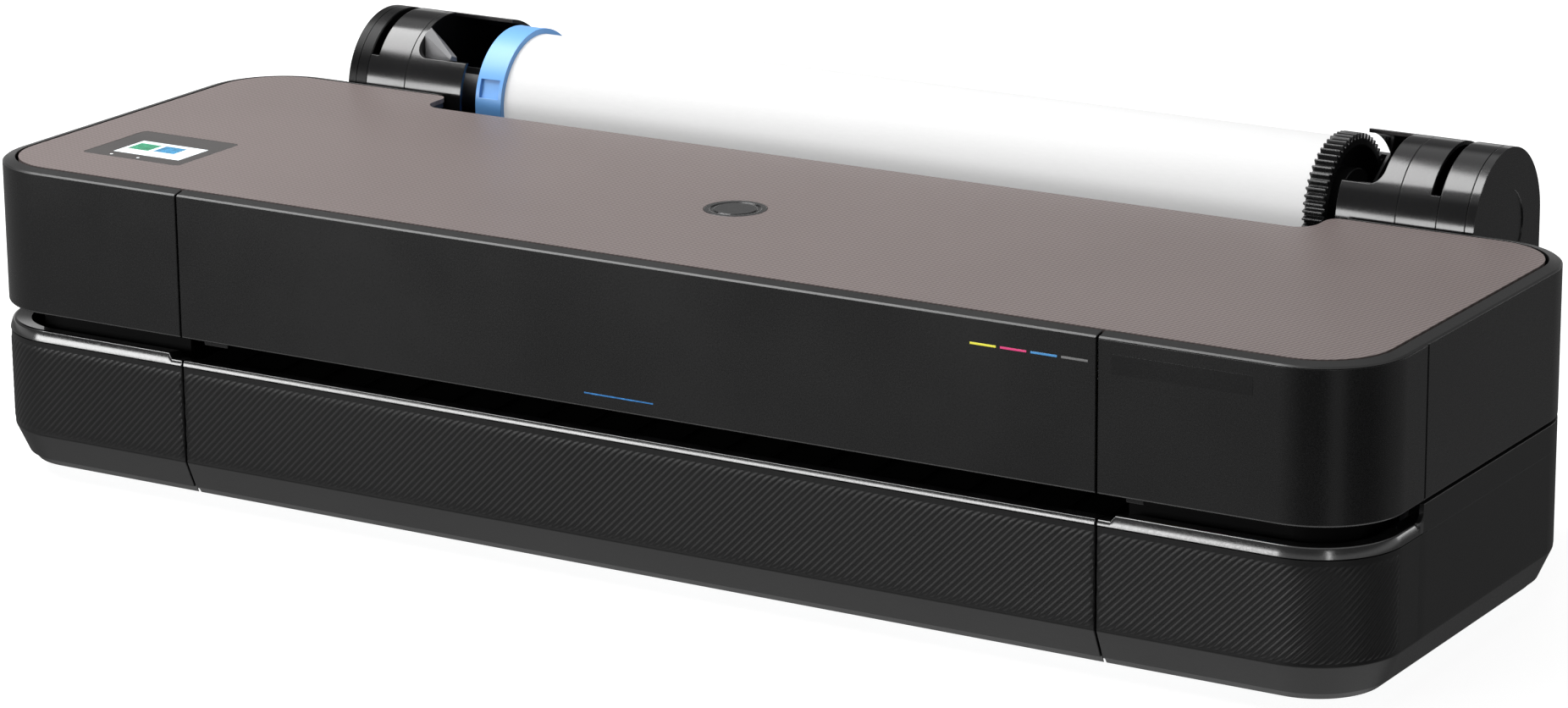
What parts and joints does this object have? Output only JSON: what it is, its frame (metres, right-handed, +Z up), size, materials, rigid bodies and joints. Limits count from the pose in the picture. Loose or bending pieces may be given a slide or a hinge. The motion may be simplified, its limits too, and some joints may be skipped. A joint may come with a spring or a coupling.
{
  "type": "large format plotter",
  "caption": "Desktop roll-fed colour plotter: rounded two-tier black casing, flat woven-look top, rear roll bay with geared spindle, front sheet slot and hinged covers.",
  "frame": {"origin": "centre of the object's footprint, on the surface that it stands on", "axes": "+X to the right along the longest side, -Y to the front, +Z up"},
  "size_m": [1.013, 0.42, 0.2576],
  "materials": {
    "black_plastic": "fine satin grain",
    "gloss_black": "polished",
    "dark_plastic": "satin",
    "woven_panel": "taupe, fine diagonal weave",
    "glass_black": "polished glass-like",
    "display": "lit display",
    "blue_light": "light guide",
    "ink_marks": "four printed ink colours",
    "steel": "zinc-plated sheet",
    "bright_steel": "ground",
    "rubber": "matte",
    "grit_roller": "gritted",
    "bronze": "sintered",
    "grey_plastic": "satin",
    "board_green": "solder mask",
    "black_gear": "satin moulded",
    "blue_plastic": "satin moulded",
    "cardboard": "kraft board",
    "paper": "uncoated white paper",
    "ink_yellow": "moulded",
    "ink_magenta": "moulded",
    "ink_cyan": "moulded",
    "ink_black": "moulded"
  },
  "bodies": {
    "chassis": {"base_pan": "steel", "feet": "rubber", "lower_left_cover": "black_plastic", "lower_right_cover": "black_plastic", "lower_center_cover": "black_plastic", "upper_left_cover": "black_plastic", "upper_right_cover": "black_plastic", "rear_cover": "black_plastic", "rear_screws": "bright_steel", "top_panel": "woven_panel", "top_frame": "dark_plastic", "badge": "dark_plastic", "screen_glass": "glass_black", "lcd_module": "display", "hinge_pins": "bright_steel", "output_guide": "dark_plastic", "side_frames": "steel", "shaft_bushings": "bronze", "platen": "dark_plastic", "carriage_beam": "steel", "carriage_rod": "bright_steel", "encoder_strip": "bright_steel", "drive_belt": "rubber", "motors": "steel", "cutter_rail": "steel", "service_station": "dark_plastic", "cartridge_bay": "dark_plastic", "main_board": "board_green", "power_supply": "steel", "power_inlet": "dark_plastic", "data_ports": "steel", "left_roll_holder": "gloss_black", "right_roll_holder": "gloss_black", "spindle_guide": "grey_plastic", "roll_trough": "dark_plastic"},
    "front_cover": {"front_cover": "black_plastic", "status_light_bar": "blue_light", "ink_colour_marks": "ink_marks"},
    "ink_door": {"ink_door": "black_plastic", "name_plate": "dark_plastic"},
    "roll_cover": {"roll_cover": "dark_plastic"},
    "roll": {"spindle": "black_gear", "blue_flange": "blue_plastic", "roll_core": "cardboard", "paper_roll": "paper"},
    "drive_gear": {"drive_gear": "grey_plastic"},
    "carriage": {"carriage": "dark_plastic", "printhead": "dark_plastic"},
    "motor_pulley": {"motor_pulley": "grey_plastic"},
    "idler_pulley": {"idler_pulley": "grey_plastic"},
    "feed_roller": {"feed_roller": "grit_roller"},
    "feed_pinion": {"feed_pinion": "grey_plastic"},
    "pinch_rollers": {"pinch_rollers": "rubber"},
    "exit_roller": {"exit_roller": "rubber"},
    "cutter": {"cutter": "dark_plastic"},
    "cap_sled": {"cap_sled": "rubber"},
    "yellow_cartridge": {"yellow_cartridge": "ink_yellow"},
    "magenta_cartridge": {"magenta_cartridge": "ink_magenta"},
    "cyan_cartridge": {"cyan_cartridge": "ink_cyan"},
    "black_cartridge": {"black_cartridge": "ink_black"}
  },
  "joints": [
    {"name": "front_cover_hinge", "type": "hinge", "parent": "chassis", "child": "front_cover", "pos_m": [0, -0.1866, 0.209], "axis": [-1, 0, 0], "range_deg": [0, 78]},
    {"name": "ink_door_hinge", "type": "hinge", "parent": "chassis", "child": "ink_door", "pos_m": [0.4985, -0.1123, 0.16], "axis": [0, 0, 1], "range_deg": [0, 95]},
    {"name": "roll_cover_hinge", "type": "hinge", "parent": "chassis", "child": "roll_cover", "pos_m": [0, 0.1584, 0.206], "axis": [1, 0, 0], "range_deg": [0, 115]},
    {"name": "roll_spin", "type": "hinge", "parent": "chassis", "child": "roll", "pos_m": [0, 0.1584, 0.206], "axis": [1, 0, 0], "continuous": true},
    {"name": "drive_gear_spin", "type": "hinge", "parent": "chassis", "child": "drive_gear", "pos_m": [0.32, 0.12014, 0.15702], "axis": [1, 0, 0], "continuous": true},
    {"name": "carriage_slide", "type": "slide", "parent": "chassis", "child": "carriage", "axis": [-1, 0, 0], "range_m": [0, 0.71]},
    {"name": "motor_pulley_spin", "type": "hinge", "parent": "chassis", "child": "motor_pulley", "pos_m": [-0.398, -0.047, 0.19], "axis": [0, 1, 0], "range_deg": [-10, 5900]},
    {"name": "idler_pulley_spin", "type": "hinge", "parent": "chassis", "child": "idler_pulley", "pos_m": [0.398, -0.047, 0.19], "axis": [0, 1, 0], "range_deg": [-10, 5900]},
    {"name": "feed_roller_spin", "type": "hinge", "parent": "chassis", "child": "feed_roller", "pos_m": [0, -0.025, 0.1], "axis": [1, 0, 0], "continuous": true},
    {"name": "feed_pinion_spin", "type": "hinge", "parent": "chassis", "child": "feed_pinion", "pos_m": [-0.42, -0.05198, 0.07302], "axis": [1, 0, 0], "continuous": true},
    {"name": "pinch_roller_spin", "type": "hinge", "parent": "chassis", "child": "pinch_rollers", "pos_m": [0, -0.025, 0.1163], "axis": [1, 0, 0], "continuous": true},
    {"name": "exit_roller_spin", "type": "hinge", "parent": "chassis", "child": "exit_roller", "pos_m": [0, -0.118, 0.101], "axis": [1, 0, 0], "continuous": true},
    {"name": "cutter_slide", "type": "slide", "parent": "chassis", "child": "cutter", "axis": [1, 0, 0], "range_m": [0, 0.69]},
    {"name": "cap_lift", "type": "slide", "parent": "chassis", "child": "cap_sled", "axis": [0, 0, 1], "range_m": [0, 0.005]},
    {"name": "yellow_cartridge_slide", "type": "slide", "parent": "chassis", "child": "yellow_cartridge", "axis": [0, -1, 0], "range_m": [0, 0.009]},
    {"name": "magenta_cartridge_slide", "type": "slide", "parent": "chassis", "child": "magenta_cartridge", "axis": [0, -1, 0], "range_m": [0, 0.009]},
    {"name": "cyan_cartridge_slide", "type": "slide", "parent": "chassis", "child": "cyan_cartridge", "axis": [0, -1, 0], "range_m": [0, 0.009]},
    {"name": "black_cartridge_slide", "type": "slide", "parent": "chassis", "child": "black_cartridge", "axis": [0, -1, 0], "range_m": [0, 0.009]}
  ],
  "couplings": [
    {"joint": "drive_gear_spin", "follows": "roll_spin", "ratio": -3},
    {"joint": "motor_pulley_spin", "follows": "carriage_slide", "rad_per_m": 142.86},
    {"joint": "idler_pulley_spin", "follows": "carriage_slide", "rad_per_m": 142.86},
    {"joint": "feed_pinion_spin", "follows": "feed_roller_spin", "ratio": -3.75},
    {"joint": "pinch_roller_spin", "follows": "feed_roller_spin", "ratio": -2.2},
    {"joint": "exit_roller_spin", "follows": "feed_roller_spin", "ratio": 1.375}
  ]
}
